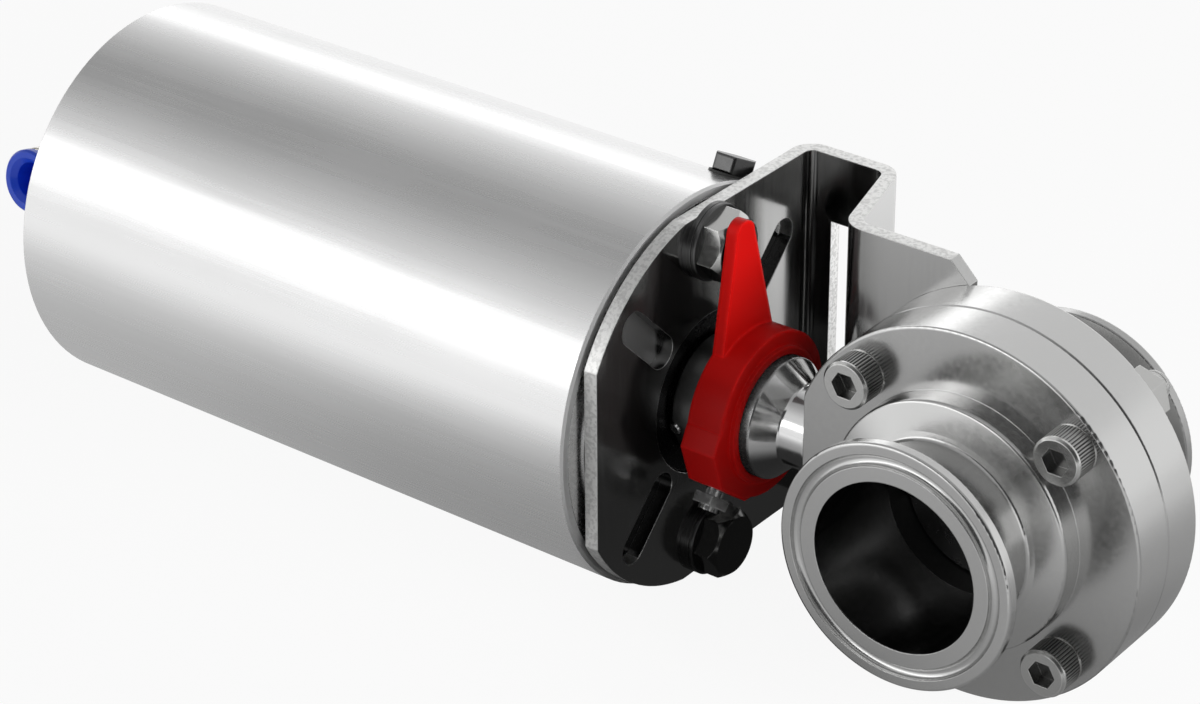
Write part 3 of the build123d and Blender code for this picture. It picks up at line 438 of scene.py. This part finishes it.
# What each node is made of; the seals and the seat, not named here, are rubber
FINISHES = {
    "actuator_tube": tube_steel,
    "front_cap": cap_steel,
    "rear_cap": cap_steel,
    "guide_sleeve": cap_steel,
    "front_body_half": turned_steel,
    "rear_body_half": turned_steel,
    "disc_and_stem": disc_shaded_steel,
    "mounting_bracket": sheet_steel,
    "coupling": coupling_steel,
    "body_screws": screw_steel,
    "body_nuts": nut_steel,
    "indicator_screw": clamp_steel,
    "indicator_nut": clamp_steel,
    "guide_screws": nut_steel,
    "bracket_bolts": bolt_steel,
    "bracket_washers": washer_shaded_steel,
    "head_washers": washer_shaded_steel,
    "vent_plug": dark_plug,
    "coupling_pin": pin_steel,
    "cam_shaft": pin_steel,
    "cam_pin": pin_steel,
    "return_spring": spring_steel,
    "rear_retaining_ring": spring_steel,
    "grab_ring": spring_steel,
    "piston": aluminium,
    "output_bush": bronze,
    "thrust_washer": bronze,
    "fitting_stud": nickel,
    "fitting_elbow": nickel,
    "position_indicator": red_plastic,
    "release_collar": blue_plastic,
    "upper_stem_bush": bush_plastic,
    "lower_stem_bush": bush_plastic,
    "piston_wear_ring": bush_plastic,
}
for name, node in nodes.items():
    node.data.materials.clear()
    node.data.materials.append(FINISHES.get(name, rubber))

# Return spring: a copy of its mesh with its own data, carried with the valve, in place of the
# imported spring
coil = bpy.data.objects.new("return_spring_coil", nodes["return_spring"].data.copy())
bpy.context.scene.collection.objects.link(coil)
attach(coil, "valve")
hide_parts("return_spring")
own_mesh(coil)


class Glow(Graph):
    """A material that only glows."""

    def __init__(self, name):
        self.material = bpy.data.materials.new(name)
        self.material.use_nodes = True
        super().__init__(self.material.node_tree)
        self.tree.nodes.remove(self.tree.nodes["Principled BSDF"])
        glow = self.node("ShaderNodeEmission")
        self.link(glow.outputs[0], self.tree.nodes["Material Output"].inputs["Surface"])
        self.strength = glow.inputs["Strength"]


def plane(name, material, low, high, level):
    """A horizontal stage plane between two X, Y corners."""
    mesh = bpy.data.meshes.new(name)
    (x0, y0), (x1, y1) = low, high
    corners = [(x0, y0, level), (x1, y0, level), (x1, y1, level), (x0, y1, level)]
    mesh.from_pydata(corners, [], [(0, 1, 2, 3)])
    mesh.materials.append(material)
    piece = bpy.data.objects.new(name, mesh)
    bpy.context.scene.collection.objects.link(piece)
    return piece


def flag(piece):
    """A grey studio flag: only reflections see it, it neither lights nor shades."""
    piece.visible_camera = False
    piece.visible_diffuse = False
    piece.visible_transmission = False
    piece.visible_volume_scatter = False
    piece.visible_shadow = False


# White floor that keeps the object's shadow
floor_white = bpy.data.materials.new("floor_white")
floor_white.use_nodes = True
floor = Graph(floor_white.node_tree)
shader = floor.tree.nodes["Principled BSDF"]
shader.inputs["Base Color"].default_value = (0.9, 0.9, 0.9, 1)
shader.inputs["Roughness"].default_value = 0.7
shader.inputs["Specular IOR Level"].default_value = 0.2
glow = floor.node("ShaderNodeEmission")
mix = floor.node("ShaderNodeMixShader")
floor.link(floor.times(floor.white_seen(), 0.92), mix.inputs[0])
floor.link(shader.outputs[0], mix.inputs[1])
floor.link(glow.outputs[0], mix.inputs[2])
floor.link(mix.outputs[0], floor.tree.nodes["Material Output"].inputs["Surface"])
plane("floor", floor_white, (-6, -6), (6, 6), FLOOR)

# Table as the metal sees it, a glow card with light and shade painted in: painted shade near the
# object, painted shadows under the valve and the bracket, and painted light towards the cylinder's
# rear, past the valve and behind the bracket's window
table = Glow("table_grey")
x, y, z = table.place()
aside = table.size(table.minus(y, 0.04))
tone = table.ramp(aside, 0.02, 0.24, 0.38, 0.82)
near_valve = table.across(table.minus(x, 0.02), table.minus(y, 0.03))
valve_shadow = table.ramp(near_valve, 0.03, 0.08, 0.7, 1.0)
bracket_shadow = table.times(
    table.ramp(x, -0.085, -0.07),
    table.ramp(x, -0.03, -0.005, 1.0, 0.0),
    table.ramp(y, -0.035, -0.01),
    table.ramp(y, 0.07, 0.088, 1.0, 0.0),
)
window_light = table.times(
    table.ramp(y, 0.088, 0.11, 0.0, 0.7),
    table.ramp(x, 0.0, 0.04, 1.0, 0.0),
    table.ramp(x, -0.1, -0.07),
)
lit = table.times(
    table.minus(1.0, table.times(bracket_shadow, 0.9)),
    table.ramp(x, -0.25, -0.08, 1.3, 0.82),
    table.ramp(x, -0.03, 0.03, 1.0, 1.2),
    table.plus(1.0, window_light),
)
table.link(table.times(tone, valve_shadow, lit), table.strength)
flag(plane("table_flag", table.material, (-1.2, -0.9), (0.7, 0.9), FLOOR + 0.2 * MM))

# Grey ceiling over the set, dark over the front right
ceiling = Glow("ceiling_grey")
x, y, z = ceiling.place()
aside = ceiling.size(ceiling.minus(y, 0.05))
tone = ceiling.ramp(aside, 0.0, 0.95, 0.35, 0.8)
dark = ceiling.times(ceiling.ramp(x, -0.6, -0.45), ceiling.ramp(y, -0.5, -0.65))
lit = ceiling.minus(1.0, ceiling.times(dark, 0.92))
ceiling.link(ceiling.times(tone, lit), ceiling.strength)
flag(plane("ceiling_flag", ceiling.material, (-2.6, -1.5), (1.8, 1.7), 0.9))

# Dark card on the camera's side
screen = Glow("camera_grey")
screen.strength.default_value = 0.06
card = plane("camera_flag", screen.material, (-0.65, -0.45), (0.65, 0.45), 0)
card.location = (0.55, -0.8, 0.12)
card.rotation_euler = Vector((-0.55, 0.8, 0.0)).to_track_quat("Z", "Y").to_euler()
flag(card)

# White studio world, a plain even fill for the object itself
world = bpy.data.worlds.new("studio")
bpy.context.scene.world = world
world.use_nodes = True
sky = Graph(world.node_tree)
background = sky.tree.nodes["Background"]
white = sky.node("ShaderNodeMix", data_type="RGBA")
sky.link(sky.white_seen(), white.inputs["Factor"])
white.inputs[6].default_value = (0.16, 0.16, 0.16, 1)
white.inputs[7].default_value = (1, 1, 1, 1)
sky.link(white.outputs[2], background.inputs["Color"])
background.inputs["Strength"].default_value = 1.0


def strip_light(name, place, target, size, power):
    """A rectangular lamp of that size in metres, turned to target."""
    data = bpy.data.lights.new(name, "AREA")
    data.shape = "RECTANGLE"
    data.size, data.size_y = size
    data.energy = power
    light = bpy.data.objects.new(name, data)
    bpy.context.scene.collection.objects.link(light)
    light.location = place
    light.rotation_euler = (Vector(target) - Vector(place)).to_track_quat("-Z", "Y").to_euler()
    return light


# Two strips along the cylinder, and two lamps that reflections don't see
TUBE_MIDDLE = (-0.12, VALVE_Y, 0)
strip_light("front_strip", (-0.72, -0.9, 0.42), TUBE_MIDDLE, (1.5, 0.3), 1.85)
strip_light("back_strip", (-0.72, 0.95, 0.42), TUBE_MIDDLE, (1.5, 0.22), 0.9)
side_lamp = strip_light("right_strip", (0.8, 0.75, 0.35), (0.0, VALVE_Y, 0), (0.7, 0.6), 1.0)
side_lamp.visible_glossy = False
key = strip_light("key_softbox", (0.9, 0.0, 0.4), (-0.05, VALVE_Y, 0), (0.6, 0.6), 8.0)
key.visible_glossy = False

# Camera, solved from the photograph
camera_data = bpy.data.cameras.new("camera")
camera_data.sensor_width = 36
camera_data.lens = 107.2
camera_data.clip_start = 0.01
camera = bpy.data.objects.new("camera", camera_data)
bpy.context.scene.collection.objects.link(camera)
right = Vector((0.790848, 0.61199, -0.005238))
up = Vector((-0.29313, 0.386285, 0.874562))
back = Vector((0.537246, -0.69011, 0.484886))
turn = Matrix((right, up, back)).transposed().to_4x4()
camera.matrix_world = Matrix.Translation((0.297909, -0.469626, 0.352749)) @ turn
bpy.context.scene.camera = camera

bpy.context.scene.view_settings.view_transform = "Standard"
